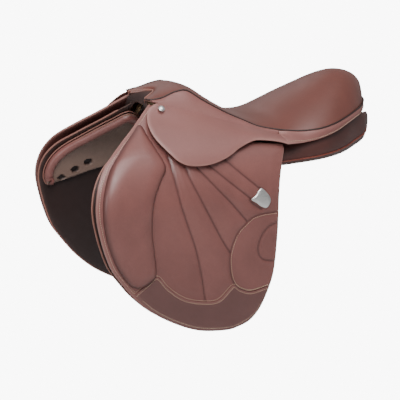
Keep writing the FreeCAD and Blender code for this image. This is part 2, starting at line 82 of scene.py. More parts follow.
# Outlines seen from the side (x, z).
FLAP_EDGE = [(-184, 100), (-203, 87), (-231, 67), (-265, 45), (-300, 19), (-320, -10), (-329, -41),
             (-330, -69),
             (-324, -102), (-315, -135), (-303, -165), (-281, -197), (-259, -224), (-226, -254), (-190, -277),
             (-155, -294), (-125, -303), (-83, -308), (-59, -305), (-35, -296), (-14, -274), (4, -237),
             (14, -201),
             (20, -130), (22, -60), (30, -20), (44, 13)]
FLAP_TOP = [(44, 20), (-38, 32), (-132, 34), (-134, 82), (-178, 96)]
KNEE_ROLL = [(-216, 70), (-236, 58), (-264, 38), (-296, 10), (-314, -24), (-320, -60), (-316, -98),
             (-306, -135),
             (-291, -168), (-270, -196), (-247, -200), (-226, -186), (-222, -170), (-225, -143), (-229, -96),
             (-225, -52), (-210, -21), (-196, -3), (-194, 10), (-201, 29), (-208, 50)]
WEAR_TOP = [(-262, -211), (-241, -197), (-221, -186), (-199, -211), (-167, -235), (-126, -247), (-99, -246),
            (-72, -224), (-58, -233), (-35, -241), (-1, -236)]
WEAR_LOW = [(-8, -256), (-22, -280), (-38, -292), (-60, -301), (-83, -304), (-125, -299), (-155, -290),
            (-190, -273),
            (-226, -250), (-250, -228)]
FAN_SEAMS = [
    [(-184, 20), (-176, -47), (-163, -92), (-146, -142), (-134, -195), (-126, -247)],
    [(-156, 2), (-149, -24), (-133, -59), (-114, -96), (-94, -134), (-77, -162)],
    [(-134, -2), (-102, -40), (-74, -71), (-43, -108)],
    [(-114, 3), (-76, -32), (-33, -69)],
    [(-84, 12), (-49, -22), (-14, -53)],
    [(-39, -69), (-28, -79), (-15, -88)],
]
ROUND_INSET = [(19, -97), (-5, -97), (-28, -100), (-43, -109), (-64, -129), (-77, -164), (-76, -200),
               (-69, -220),
               (-58, -231), (-35, -240), (-1, -235)]
INNER_ROUND = [(18, -117), (0, -123), (-15, -140), (-21, -163), (-12, -182), (14, -190)]
SHIELD = [(-17, -49), (-4, -60), (2, -71), (0, -80), (-6, -86), (-16, -83), (-26, -75), (-37, -67),
          (-28, -61)]
LOBE_EDGE = [(-180, 101), (-191, 96), (-200, 86), (-206, 71), (-202, 52), (-186, 30), (-172, 15), (-156, 7),
             (-136, 4), (-108, 5),
             (-77, 13), (-47, 26), (-17, 33.5), (10, 31.5), (34, 27), (48.3, 22)]

# Seat stations: x, half-width at the welt, height of the welt, height of the centre line.
SEAT = [(-188, 38, 106, 112), (-180, 50, 106, 117), (-160, 52, 109, 121), (-136, 49, 116, 124),
        (-112, 50, 117, 123),
        (-88, 57, 101, 114), (-64, 64, 86, 97), (-39, 70, 72, 81), (-14, 78, 60, 67), (11, 86, 48, 58.5),
        (36, 95, 42, 56),
        (62, 104, 38, 60), (90, 112, 36, 73), (125, 119, 38, 88), (160, 115, 44, 102), (192, 101, 50, 115),
        (219, 85, 55, 121), (242, 67, 58, 119), (262, 45, 60, 111), (276, 24, 61, 99), (283, 9, 61, 88)]
# Skirt tail's upper edge, along the welt, and its lower edge: x, y, z.
TAIL_TOP = [(48.7, 99.4, 39.8)] + [s[:3] for s in SEAT[11:20]] + [(282.5, 10, 61), (284.5, 0, 61)]
TAIL_FOOT = [(48.7, 141, 22), (62, 138, 20.5), (90, 128, 17.5), (125, 124, 20), (160, 119, 28),
             (192, 106, 37), (219, 91, 43),
             (242, 73, 46), (260, 51, 48), (274, 30, 49), (281, 14, 49), (283, 0, 49)]

# Panel stations: x, then top inner, top middle, top outer, bottom outer, bottom middle, bottom inner (y, z).
PANEL = [(-152, (24, 83), (70, 42), (112, -6), (106, -36), (56, 26), (22, 62)),
         (-110, (26, 66), (68, 36), (110, -2), (108, -34), (62, 6), (26, 36)),
         (-60, (30, 34), (66, 26), (106, 2), (108, -30), (68, -14), (30, 4)),
         (-10, (32, 16), (66, 18), (102, 8), (114, -26), (74, -26), (33, -8)),
         (40, (32, 13), (68, 17), (102, 10), (119, -22), (78, -27), (33, -11)),
         (90, (32, 13), (70, 18), (110, 16), (119, -21), (78, -26), (33, -12)),
         (140, (31, 14), (68, 22), (112, 22), (114, -20), (74, -25), (32, -12)),
         (190, (29, 18), (60, 28), (97, 32), (96, -18), (62, -22), (30, -10)),
         (230, (26, 24), (48, 36), (74, 42), (74, -12), (50, -16), (27, -6)),
         (262, (22, 30), (38, 37), (54, 40), (56, -4), (40, -8), (23, 2)),
         (280, (15, 30), (24, 35), (34, 37), (36, 10), (25, 6), (16, 12))]
PANEL_FRONT = [(-152, 68), (-184, 84), (-212, 70), (-240, 52), (-272, 29), (-299, 3), (-315, -26),
               (-321, -56), (-316, -78),
               (-270, -68), (-216, -52), (-150, -38)]
VENTS = [(-289, -64, 7), (-262, -46, 8), (-237, -30, 8)]


# ---------- geometry helpers ----------

def profile(z, depth=0.0):
    """Half-width and outward direction (y, z) of the side at height z, depth inside the flap's face."""
    radius = ARC_R - depth
    if z > ARC_Z + radius * HALF_ROOT:
        return SLOPE_SUM - z - depth / HALF_ROOT, HALF_ROOT, HALF_ROOT
    if z > ARC_Z:
        rise = z - ARC_Z
        width = math.sqrt(radius * radius - rise * rise)
        return ARC_Y + width, width / radius, rise / radius
    return ARC_Y + radius, 1.0, 0.0


def on_side(x, z, depth):
    """The point at (x, z) of the flap's outer face, moved in by depth along the face's own direction."""
    y, out_y, out_z = profile(z)
    return Vector((x, y - depth * out_y, z - depth * out_z))


def curve_points(points, closed, pieces_between):
    """Points along a Catmull-Rom line, with as many pieces in each span as pieces_between says."""
    pts = [np.array(p, float) for p in points]
    if closed:
        ring = [pts[-1]] + pts + [pts[0], pts[1]]
    else:
        ring = [2 * pts[0] - pts[1]] + pts + [2 * pts[-1] - pts[-2]]
    line = []
    for a, b, c, d in zip(ring, ring[1:], ring[2:], ring[3:]):
        pieces = pieces_between(b, c)
        for i in range(pieces):
            t = i / pieces
            line.append(0.5 * (2 * b + (c - a) * t + (2 * a - 5 * b + 4 * c - d) * t ** 2
                               + (3 * b - a - 3 * c + d) * t ** 3))
    if not closed:
        line.append(pts[-1])
    return line


def smooth_line(points, step=4.0, closed=False):
    """A smooth line cut into steps of about the given length."""
    line = curve_points(points, closed, lambda b, c: max(1, int(round(np.linalg.norm(c - b) / step))))
    return [tuple(p) for p in line]


def fixed_curve(points, pieces, closed=False):
    """A smooth line with the same number of pieces in every span."""
    return curve_points(points, closed, lambda b, c: pieces)


def through(xs, ys):
    """A smooth function through a table of values."""
    xs, ys = np.array(xs, float), np.array(ys, float)
    slopes = np.gradient(ys, xs)

    def value(x):
        x = min(max(x, xs[0]), xs[-1])
        i = min(max(int(np.searchsorted(xs, x)) - 1, 0), len(xs) - 2)
        h = xs[i + 1] - xs[i]
        t = (x - xs[i]) / h
        return ((2 * t ** 3 - 3 * t ** 2 + 1) * ys[i] + (t ** 3 - 2 * t ** 2 + t) * h * slopes[i]
                + (3 * t ** 2 - 2 * t ** 3) * ys[i + 1] + (t ** 3 - t ** 2) * h * slopes[i + 1])
    return value


def distance_to(points, line):
    """Distance from each point to a line of straight pieces."""
    points, line = np.asarray(points, float), np.asarray(line, float)
    best = np.full(len(points), 1e9)
    for a, b in zip(line, line[1:]):
        ab = b - a
        t = np.clip(((points - a) @ ab) / max(ab @ ab, 1e-9), 0, 1)
        best = np.minimum(best, np.linalg.norm(points - a - t[:, None] * ab, axis=1))
    return best


def inside(points, ring):
    """Which points lie inside a closed ring."""
    points = np.asarray(points, float)
    hit = np.zeros(len(points), bool)
    for (ax, az), (bx, bz) in zip(ring, ring[1:] + ring[:1]):
        if az == bz:
            continue
        crosses = (az > points[:, 1]) != (bz > points[:, 1])
        hit ^= crosses & (points[:, 0] < (bx - ax) * (points[:, 1] - az) / (bz - az) + ax)
    return hit


def put_in_scene(name, data):
    """An object for a mesh, lamp or camera."""
    item = bpy.data.objects.new(name, data)
    bpy.context.scene.collection.objects.link(item)
    return item


def on_its_side(points, side):
    """Points given for +y, turned over to the near side where side is -1."""
    return [Vector((p[0], p[1] * side, p[2])) for p in points]


def make_piece(name, verts, faces, sharp=40):
    """A mesh object from points in millimetres, with its faces turned outwards."""
    name = name.replace(" ", "_")
    mesh = bpy.data.meshes.new(name)
    mesh.from_pydata([tuple(Vector(v) * MM) for v in verts], [], faces)
    bm = bmesh.new()
    bm.from_mesh(mesh)
    bmesh.ops.recalc_face_normals(bm, faces=bm.faces[:])
    bm.to_mesh(mesh)
    bm.free()
    mesh.polygons.foreach_set("use_smooth", [True] * len(mesh.polygons))
    mesh.set_sharp_from_angle(angle=math.radians(sharp))
    return put_in_scene(name, mesh)


def paint(piece, values, attribute):
    """Stores one number per point, which the materials read."""
    layer = piece.data.attributes.new(attribute, "FLOAT", "POINT")
    layer.data.foreach_set("value", np.asarray(values, np.float32))


def patch(ring, cell):
    """A flat outline cut into cells: its points (x, z) and its faces."""
    bm = bmesh.new()
    bm.faces.new([bm.verts.new((x, 0, z)) for x, z in ring])
    for axis in (0, 2):
        low = min(p[axis // 2] for p in ring)
        high = max(p[axis // 2] for p in ring)
        normal = Vector((1, 0, 0)) if axis == 0 else Vector((0, 0, 1))
        for i in range(1, int((high - low) / cell) + 1):
            spot = Vector((0, 0, 0))
            spot[axis] = low + i * cell - 0.37
            bmesh.ops.bisect_plane(bm, geom=bm.verts[:] + bm.edges[:] + bm.faces[:], dist=1e-4,
                                   plane_co=spot, plane_no=normal)
    bmesh.ops.remove_doubles(bm, verts=bm.verts[:], dist=0.25)
    bm.verts.index_update()
    points = [(v.co.x, v.co.z) for v in bm.verts]
    faces = [[v.index for v in f.verts] for f in bm.faces]
    rim = [[e.verts[0].index, e.verts[1].index] for e in bm.edges if len(e.link_faces) == 1]
    bm.free()
    return points, faces, rim


def leaf(name, side, ring, cell, front, back, seams=(), border=None, seam_width=1.7, flesh=0.0):
    """A leather leaf with two faces and a rim. front and back place (x, z, edge distance) in space, for +y.
    border is the part of the ring that is a cut edge. The seams get painted shade in their dips, and the last
    number says how dark the back face is painted, as shade under the leaf."""
    points, faces, rim = patch(ring, cell)
    edge = distance_to(points, border or list(ring) + [ring[0]])
    outer, inner = front(points, edge), back(points, edge)
    verts = on_its_side(list(outer) + list(inner), side)
    count = len(points)
    all_faces = faces + [[i + count for i in reversed(f)] for f in faces]
    all_faces += [[a, b, b + count, a + count] for a, b in rim]
    piece = make_piece(name, verts, all_faces)
    paint(piece, np.tile(np.exp(-edge / 2.2), 2), "edge")
    # Painted shade: dark in the seams' dips, and over the whole back face, which lies in shade.
    seam = np.zeros(count)
    for line in seams:
        seam = np.maximum(seam, np.exp(-(distance_to(points, line) / seam_width) ** 2))
    paint(piece, np.concatenate([seam, np.maximum(seam, flesh)]), "seam")
    return piece


def layer_place(height, depth):
    """Places points on the side at a depth, raised by a height function."""
    def place(points, edge):
        raised = height(points, edge)
        return [on_side(x, z, depth - h) for (x, z), h in zip(points, raised)]
    return place


def rolled_edge(edge, drop, reach):
    """How far a leather's face falls away towards its cut edge."""
    return -drop * np.clip(1 - edge / reach, 0, 1) ** 2


def groove(points, line, depth, width):
    """The dip beside a stitched seam."""
    return -depth * np.exp(-(distance_to(points, line) / width) ** 2)


def tube(name, path, radius, side=1, sides=8):
    """A round cord of leather along a path. The path is in millimetres, for +y."""
    path = on_its_side(path, side)
    verts, faces = [], []
    last = len(path) - 1
    for i, p in enumerate(path):
        ahead = (path[min(i + 1, last)] - path[max(i - 1, 0)]).normalized()
        across = ahead.cross(Vector((0, 0, 1)))
        across = across.normalized() if across.length > 0.01 else Vector((0, 1, 0))
        up = across.cross(ahead)
        size = radius * (0.3 if i in (0, last) else 1)
        for j in range(sides):
            turn = 2 * math.pi * j / sides
            verts.append(p + (across * math.cos(turn) + up * math.sin(turn)) * size)
    for i in range(last):
        for j in range(sides):
            a, b = i * sides + j, i * sides + (j + 1) % sides
            faces.append([a, b, b + sides, a + sides])
    faces += [list(range(sides)), list(range(last * sides, (last + 1) * sides))]
    return make_piece(name, verts, faces, sharp=80)


def joined(name, pieces):
    """Several meshes made into one piece."""
    name = name.replace(" ", "_")
    bm = bmesh.new()
    for piece in pieces:
        bm.from_mesh(piece.data)
        bpy.data.objects.remove(piece)
    mesh = bpy.data.meshes.new(name)
    bm.to_mesh(mesh)
    bm.free()
    return put_in_scene(name, mesh)


# ---------- the skirt's surface ----------

def fold_at(x):
    """The fold line's point at station x."""
    share = (x - FOLD_FRONT[0]) / (FOLD_REAR[0] - FOLD_FRONT[0])
    return [a + (b - a) * share for a, b in zip(FOLD_FRONT, FOLD_REAR)]


WELT_WIDTH = through([s[0] for s in SEAT], [s[1] for s in SEAT])
WELT_Z = through([s[0] for s in SEAT], [s[2] for s in SEAT])
SKIRT_HALF = 1.3
# Where the lifting skirt ends and the fixed tail begins.
LOBE_REAR_X, TAIL_FRONT_X = 48.3, 48.6


def skirt_line(x):
    """The skirt's outer line at station x: pairs (z, y) from its foot up to the fold and the welt."""
    _, fold_y, fold_z = fold_at(x)
    fold_y, fold_z = fold_y + SKIRT_HALF * HALF_ROOT, fold_z + SKIRT_HALF * HALF_ROOT
    pairs = [(-14.0, profile(-14, -13.5)[0])]
    for share, depth in ((0.7, -13.0), (0.4, -12.5), (0.18, -9.0)):
        z = fold_z * (1 - share)
        pairs.append((z, max(profile(z, depth)[0], fold_y + 8)))
    pairs.append((fold_z, fold_y))
    return pairs


def skirt_y(x, z):
    """Half-width of the skirt's outer face below the fold line."""
    pairs = skirt_line(x)
    return through([p[0] for p in pairs], [p[1] for p in pairs])(z)


def thick_sheet(name, side, rows, thickness, worn=True, facing=None):
    """A sheet of leather from rows of points on its outer face, for +y, which looks towards facing."""
    wide, long = len(rows[0]), len(rows)
    outer = [Vector(p) for row in rows for p in row]
    inner = []
    for i in range(long):
        for j in range(wide):
            along = outer[min(i + 1, long - 1) * wide + j] - outer[max(i - 1, 0) * wide + j]
            across = outer[i * wide + min(j + 1, wide - 1)] - outer[i * wide + max(j - 1, 0)]
            normal = along.cross(across).normalized()
            here = outer[i * wide + j]
            if normal.dot(facing or Vector((0.4 * here.x / 300, math.copysign(1, here.y), 1))) < 0:
                normal = -normal
            inner.append(here - normal * thickness)
    count = wide * long
    faces = []
    for i in range(long - 1):
        for j in range(wide - 1):
            a = i * wide + j
            faces.append([a, a + 1, a + wide + 1, a + wide])
            faces.append([a + count, a + wide + count, a + wide + 1 + count, a + 1 + count])
    rim = [j for j in range(wide)] + [i * wide + wide - 1 for i in range(1, long)]
    rim += [(long - 1) * wide + j for j in range(wide - 2, -1, -1)] + [i * wide
                                                                       for i in range(long - 2, 0, -1)]
    for a, b in zip(rim, rim[1:] + rim[:1]):
        faces.append([a, b, b + count, a + count])
    piece = make_piece(name, on_its_side(outer + inner, side), faces, sharp=78)
    border = np.array([min(i, long - 1 - i, j, wide - 1 - j) for i in range(long) for j in range(wide)],
                      float)
    if worn:
        paint(piece, np.tile(np.exp(-border / 1.2), 2), "edge")
    return piece


def ring_solid(name, side, rings, sharp=60):
    """A closed solid from rings of points, one after another, for +y."""
    count = len(rings[0])
    verts = on_its_side([p for ring in rings for p in ring], side)
    faces = []
    for i in range(len(rings) - 1):
        for j in range(count):
            a, b = i * count + j, i * count + (j + 1) % count
            faces.append([a, b, b + count, a + count])
    faces += [list(range(count)), list(range(len(verts) - count, len(verts)))]
    return make_piece(name, verts, faces, sharp)


def lifted_face(height):
    """Rounded shoulder of a stuffed leather: full height inside, falling to nothing at the edge."""
    return lambda edge, reach: height * np.sqrt(np.clip(1 - (1 - np.clip(edge / reach, 0, 1)) ** 2, 0, 1))


# ---------- materials ----------

def add(tree, kind, links=None, **settings):
    """A shader node with its settings and its sockets filled from values or other sockets."""
    node = tree.nodes.new(kind)
    for key, value in settings.items():
        setattr(node, key, value)
    for socket, value in (links or {}).items():
        if isinstance(value, bpy.types.NodeSocket):
            tree.links.new(value, node.inputs[socket])
        else:
            node.inputs[socket].default_value = value
    return node


def rgba(colour):
    """A colour with full opacity."""
    return (*colour, 1.0)


def blend(tree, share, first, second):
    """A colour between two others."""
    mix = add(tree, "ShaderNodeMix", {0: share, 6: first, 7: second}, data_type="RGBA")
    return mix.outputs[2]


def two_tone(tree, shader, share, colour, shade):
    """Colours a surface so that it wanders between a colour and a darker shade of it."""
    tone = blend(tree, share, rgba(colour), rgba(shade))
    tree.links.new(tone, shader.inputs["Base Color"])


def raise_grain(tree, shader, height, strength, distance=0.0004):
    """Fine relief on a surface."""
    relief = add(tree, "ShaderNodeBump", {"Height": height, "Strength": strength, "Distance": distance})
    tree.links.new(relief.outputs["Normal"], shader.inputs["Normal"])


def shader_group(name, inputs, outputs):
    """An empty shader group with its sockets."""
    group = bpy.data.node_groups.new(name, "ShaderNodeTree")
    for label, kind, value in inputs:
        group.interface.new_socket(label, in_out="INPUT", socket_type=kind).default_value = value
    for label, kind in outputs:
        group.interface.new_socket(label, in_out="OUTPUT", socket_type=kind)
    return group, group.nodes.new("NodeGroupInput"), group.nodes.new("NodeGroupOutput")


def hide_grain():
    """The grain of a hide: pores, fine creases and cloudy tone."""
    group, given, out = shader_group("hide grain",
                                     [("Vector", "NodeSocketVector", (0, 0, 0)),
                                      ("Pores", "NodeSocketFloat", 620.0)],
                                     [("Height", "NodeSocketFloat"), ("Cloud", "NodeSocketFloat")])
    pores = add(group, "ShaderNodeTexVoronoi", {"Vector": given.outputs[0], "Scale": given.outputs[1]},
                feature="SMOOTH_F1")
    creases = add(group, "ShaderNodeTexNoise",
                  {"Vector": given.outputs[0], "Scale": 180.0, "Detail": 6.0, "Roughness": 0.65})
    both = add(group, "ShaderNodeMath", {0: pores.outputs["Distance"], 1: creases.outputs["Fac"]},
               operation="ADD")
    cloud = add(group, "ShaderNodeTexNoise",
                {"Vector": given.outputs[0], "Scale": 9.0, "Detail": 4.0, "Distortion": 0.6})
    group.links.new(both.outputs[0], out.inputs["Height"])
    group.links.new(cloud.outputs["Fac"], out.inputs["Cloud"])
    return group


def hide_colour():
    """Colour of a hide: clouded base, painted shade in seams and on undersides, burnished and rubbed at its
    edges.
    """
    colour, number = "NodeSocketColor", "NodeSocketFloat"
    group, given, out = shader_group("hide colour",
                                     [("Base", colour, (0.2, 0.1, 0.06, 1)),
                                      ("Dark", colour, (0.05, 0.02, 0.01, 1)),
                                                     ("Rubbed", colour, (0.4, 0.25, 0.18, 1)),
                                      ("Cloud", number, 0.5),
                                                     ("Seam", number, 0.0), ("Edge", number, 0.0),
                                      ("Height", number, 0.5)],
                                     [("Color", colour)])
    spread = add(group, "ShaderNodeMapRange", {0: given.outputs["Cloud"], 1: 0.35, 2: 0.7, 3: 0.0, 4: 0.3})
    clouded = blend(group, spread.outputs[0], given.outputs["Base"], given.outputs["Dark"])
    pits = add(group, "ShaderNodeMapRange", {0: given.outputs["Height"], 1: 0.4, 2: 1.3, 3: 0.16, 4: 0.0})
    pitted = blend(group, pits.outputs[0], clouded, given.outputs["Dark"])
    # Painted shade: the hide turns dark where the shade mask is set, in seam dips, round the knee roll, in
    # vent holes and on back faces.
    painted_crease_shade = add(group, "ShaderNodeMath", {0: given.outputs["Seam"], 1: 0.85}, operation="MULTIPLY")
    crease_shaded = blend(group, painted_crease_shade.outputs[0], pitted, given.outputs["Dark"])
    rub = add(group, "ShaderNodeMath", {0: given.outputs["Edge"], 1: given.outputs["Cloud"]},
              operation="MULTIPLY")
    rubbed = blend(group, rub.outputs[0], crease_shaded, given.outputs["Rubbed"])
    group.links.new(rubbed, out.inputs["Color"])
    return group


GRAIN, COLOUR = hide_grain(), hide_colour()


def new_material(name):
    """A material with its own principled shader."""
    material = bpy.data.materials.new(name)
    material.use_nodes = True
    tree = material.node_tree
    shader = tree.nodes["Principled BSDF"]
    return material, tree, shader


def leather(name, base, dark, rubbed, rough=0.42, pores=620.0, bump=0.25, coat=0.1):
    """A finished leather."""
    material, tree, shader = new_material(name)
    place = add(tree, "ShaderNodeTexCoord")
    grain = add(tree, "ShaderNodeGroup", node_tree=GRAIN)
    tree.links.new(place.outputs["Object"], grain.inputs["Vector"])
    grain.inputs["Pores"].default_value = pores
    # Painted shade mask, read from the pieces' points and fed to the colour.
    seam = add(tree, "ShaderNodeAttribute", attribute_name="seam")
    edge = add(tree, "ShaderNodeAttribute", attribute_name="edge")
    colour = add(tree, "ShaderNodeGroup", node_tree=COLOUR)
    for label, source in (("Cloud", grain.outputs["Cloud"]), ("Height", grain.outputs["Height"]),
                          ("Seam", seam.outputs["Fac"]), ("Edge", edge.outputs["Fac"])):
        tree.links.new(source, colour.inputs[label])
    for label, value in (("Base", base), ("Dark", dark), ("Rubbed", rubbed)):
        colour.inputs[label].default_value = rgba(value)
    tree.links.new(colour.outputs[0], shader.inputs["Base Color"])
    sheen = add(tree, "ShaderNodeMapRange",
                {0: grain.outputs["Cloud"], 1: 0.3, 2: 0.75, 3: rough - 0.06, 4: rough + 0.1})
    tree.links.new(sheen.outputs[0], shader.inputs["Roughness"])
    raise_grain(tree, shader, grain.outputs["Height"], bump)
    shader.inputs["Coat Weight"].default_value = coat
    shader.inputs["Coat Roughness"].default_value = 0.32
    return material


def metal(name, colour, rough, brush):
    """A metal with brushing and slight tarnish."""
    material, tree, shader = new_material(name)
    place = add(tree, "ShaderNodeTexCoord")
    along = add(tree, "ShaderNodeMapping", {"Vector": place.outputs["Object"], "Scale": (40.0, 900.0, 900.0)})
    lines = add(tree, "ShaderNodeTexNoise", {"Vector": along.outputs[0], "Scale": 1.0, "Detail": 3.0})
    tarnish = add(tree, "ShaderNodeTexNoise",
                  {"Vector": place.outputs["Object"], "Scale": 60.0, "Detail": 5.0})
    two_tone(tree, shader, tarnish.outputs["Fac"], colour, [c * 0.55 for c in colour])
    spread = add(tree, "ShaderNodeMapRange",
                 {0: lines.outputs["Fac"], 1: 0.3, 2: 0.7, 3: rough - 0.06, 4: rough + 0.12})
    tree.links.new(spread.outputs[0], shader.inputs["Roughness"])
    raise_grain(tree, shader, lines.outputs["Fac"], brush, 0.0001)
    shader.inputs["Metallic"].default_value = 1.0
    return material


def woven(name, colour, scale):
    """Webbing, thread or wool: a fibrous cloth."""
    material, tree, shader = new_material(name)
    place = add(tree, "ShaderNodeTexCoord")
    weave = add(tree, "ShaderNodeTexWave",
                {"Vector": place.outputs["Object"], "Scale": scale, "Distortion": 3.0, "Detail": 3.0})
    fluff = add(tree, "ShaderNodeTexNoise",
                {"Vector": place.outputs["Object"], "Scale": scale * 1.7, "Detail": 4.0})
    two_tone(tree, shader, fluff.outputs["Fac"], colour, [c * 0.6 for c in colour])
    raise_grain(tree, shader, weave.outputs["Fac"], 0.4)
    shader.inputs["Roughness"].default_value = 0.85
    return material


def beech_wood():
    """Laminated beech for the tree."""
    material, tree, shader = new_material("beech")
    place = add(tree, "ShaderNodeTexCoord")
    along = add(tree, "ShaderNodeMapping", {"Vector": place.outputs["Object"], "Scale": (6.0, 60.0, 60.0)})
    rings = add(tree, "ShaderNodeTexNoise",
                {"Vector": along.outputs[0], "Scale": 3.0, "Detail": 6.0, "Distortion": 1.2})
    two_tone(tree, shader, rings.outputs["Fac"], (0.55, 0.36, 0.2), (0.36, 0.21, 0.11))
    raise_grain(tree, shader, rings.outputs["Fac"], 0.2)
    shader.inputs["Roughness"].default_value = 0.6
    return material


SEAT_LEATHER = leather("seat leather", (0.15, 0.046, 0.034), (0.07, 0.02, 0.015), (0.26, 0.11, 0.085), 0.4,
                       coat=0.1)
SKIRT_LEATHER = leather("skirt leather", (0.25, 0.1, 0.088), (0.12, 0.042, 0.035), (0.42, 0.22, 0.19), 0.46,
                        coat=0.08)
FLAP_LEATHER = leather("flap leather", (0.22, 0.083, 0.072), (0.065, 0.019, 0.016), (0.4, 0.2, 0.17), 0.4,
                       coat=0.15)
BAND_LEATHER = leather("wear band leather", (0.13, 0.052, 0.046), (0.05, 0.017, 0.014), (0.25, 0.12, 0.1),
                       0.34, coat=0.25)
PANEL_LEATHER = leather("panel leather", (0.085, 0.028, 0.023), (0.03, 0.01, 0.008), (0.2, 0.09, 0.07), 0.4,
                        coat=0.1)
FACING_LEATHER = leather("panel facing leather", (0.22, 0.14, 0.11), (0.012, 0.006, 0.005),
                         (0.28, 0.19, 0.16), 0.5)
STRAP_LEATHER = leather("strap leather", (0.085, 0.032, 0.022), (0.03, 0.01, 0.008), (0.3, 0.16, 0.11),
                        0.46, bump=0.35)
LINING_LEATHER = leather("lining leather", (0.022, 0.009, 0.008), (0.008, 0.003, 0.003),
                         (0.1, 0.045, 0.035), 0.5)
WELT_LEATHER = leather("welt leather", (0.3, 0.13, 0.1), (0.1, 0.04, 0.03), (0.5, 0.3, 0.25), 0.4)
# Nearly black leather for the seat piping: its colour is painted shade, the dark crease between seat and
# skirt.
SEAT_WELT_SHADE_LEATHER = leather("crease leather", (0.03, 0.01, 0.008), (0.012, 0.004, 0.003), (0.08, 0.03, 0.025),
                         0.5)
RED_WELT_LEATHER = leather("red welt leather", (0.2, 0.045, 0.03), (0.08, 0.015, 0.01), (0.4, 0.16, 0.12),
                           0.4, coat=0.2)
THREAD = woven("linen thread", (0.72, 0.5, 0.36), 2400.0)
BADGE_METAL = metal("polished nickel", (0.95, 0.94, 0.92), 0.32, 0.1)
FORGED_STEEL = metal("forged steel", (0.5, 0.5, 0.49), 0.35, 0.4)
SPRING_STEEL = metal("blued spring steel", (0.16, 0.17, 0.2), 0.4, 0.4)
BEECH = beech_wood()
WEBBING = woven("jute webbing", (0.6, 0.52, 0.38), 900.0)
FOAM = woven("seat foam", (0.7, 0.64, 0.46), 1500.0)


def dress(piece, material, body, *nodes):
    """Gives a piece its material and its CAD body, and hides the CAD nodes it stands for."""
    piece.data.materials.clear()
    piece.data.materials.append(material)
    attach(piece, body)
    if nodes:
        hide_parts(*nodes)
    return piece


# ---------- stitching ----------

def stitch_group():
    """Geometry nodes that sew a row of stitches along the edges of a mesh."""
    group = bpy.data.node_groups.new("stitch row", "GeometryNodeTree")
    number = "NodeSocketFloat"
    group.interface.new_socket("Geometry", in_out="INPUT", socket_type="NodeSocketGeometry")
    for label, value in (("Pitch", 0.004), ("Length", 0.0028), ("Thickness", 0.0008)):
        group.interface.new_socket(label, in_out="INPUT", socket_type=number).default_value = value
    group.interface.new_socket("Thread", in_out="INPUT", socket_type="NodeSocketMaterial")
    group.interface.new_socket("Geometry", in_out="OUTPUT", socket_type="NodeSocketGeometry")
    given, out = group.nodes.new("NodeGroupInput"), group.nodes.new("NodeGroupOutput")
    line = add(group, "GeometryNodeMeshToCurve", {"Mesh": given.outputs["Geometry"]})
    spaced = add(group, "GeometryNodeResampleCurve",
                 {"Curve": line.outputs[0], "Length": given.outputs["Pitch"]}, mode="LENGTH")
    stitch = add(group, "GeometryNodeMeshUVSphere", {"Segments": 8, "Rings": 6, "Radius": 0.5})
    tangent = add(group, "GeometryNodeInputTangent")
    turn = add(group, "FunctionNodeAlignRotationToVector", {"Vector": tangent.outputs[0]}, axis="X")
    size = add(group, "ShaderNodeCombineXYZ", {0: given.outputs["Length"], 1: given.outputs["Thickness"],
                                               2: given.outputs["Thickness"]})
    sewn = add(group, "GeometryNodeInstanceOnPoints",
               {"Points": spaced.outputs[0], "Instance": stitch.outputs[0],
                                                       "Rotation": turn.outputs[0], "Scale": size.outputs[0]})
    real = add(group, "GeometryNodeRealizeInstances", {0: sewn.outputs[0]})
    finished = add(group, "GeometryNodeSetMaterial",
                   {"Geometry": real.outputs[0], "Material": given.outputs["Thread"]})
    group.links.new(finished.outputs[0], out.inputs[0])
    return group


STITCH_GROUP = stitch_group()


def sew(name, body, side, lines, pitch=4.2, length=3.0, thickness=0.9):
    """Stitches along several lines of points, given for +y, as one piece on a body."""
    name = name.replace(" ", "_")
    verts, edges = [], []
    for line in lines:
        first = len(verts)
        verts += [(p[0] * MM, p[1] * side * MM, p[2] * MM) for p in line]
        edges += [(i, i + 1) for i in range(first, len(verts) - 1)]
    mesh = bpy.data.meshes.new(name)
    mesh.from_pydata(verts, edges, [])
    piece = put_in_scene(name, mesh)
    rows = piece.modifiers.new("stitches", "NODES")
    rows.node_group = STITCH_GROUP
    values = {"Pitch": pitch * MM, "Length": length * MM, "Thickness": thickness * MM, "Thread": THREAD}
    for item in STITCH_GROUP.interface.items_tree:
        if item.in_out == "INPUT" and item.name in values:
            rows[item.identifier] = values[item.name]
    bpy.context.view_layer.update()
    sewn = bpy.data.meshes.new_from_object(piece.evaluated_get(bpy.context.evaluated_depsgraph_get()))
    piece.modifiers.remove(rows)
    piece.data = sewn
    sewn.polygons.foreach_set("use_smooth", [True] * len(sewn.polygons))
    return dress(piece, THREAD, body)


# ---------- flap ----------

FLAP_RING = smooth_line(FLAP_EDGE, 6) + FLAP_TOP
ROLL_RING = smooth_line(KNEE_ROLL, 5, closed=True)
WEAR_RING = smooth_line(WEAR_TOP, 4) + smooth_line(WEAR_LOW, 5)
INSET_LINE = smooth_line(ROUND_INSET, 4)
INNER_LINE = smooth_line(INNER_ROUND, 4)
FAN_LINES = [smooth_line(seam, 5) for seam in FAN_SEAMS]
WEAR_LINE = smooth_line(WEAR_TOP, 4)
FLAP_THICK, ROLL_RISE = 7.5, 12.5
# Depths of the layers under the flap, from the flap's outer face.
STRAP_OUT, STRAP_IN = 12.2, 15.9
SWEAT_OUT, SWEAT_IN = 21, 24.5
STRAP_HALF, STRAP_HOLE_R, STRAP_PITCH = 12.5, 2.5, 25


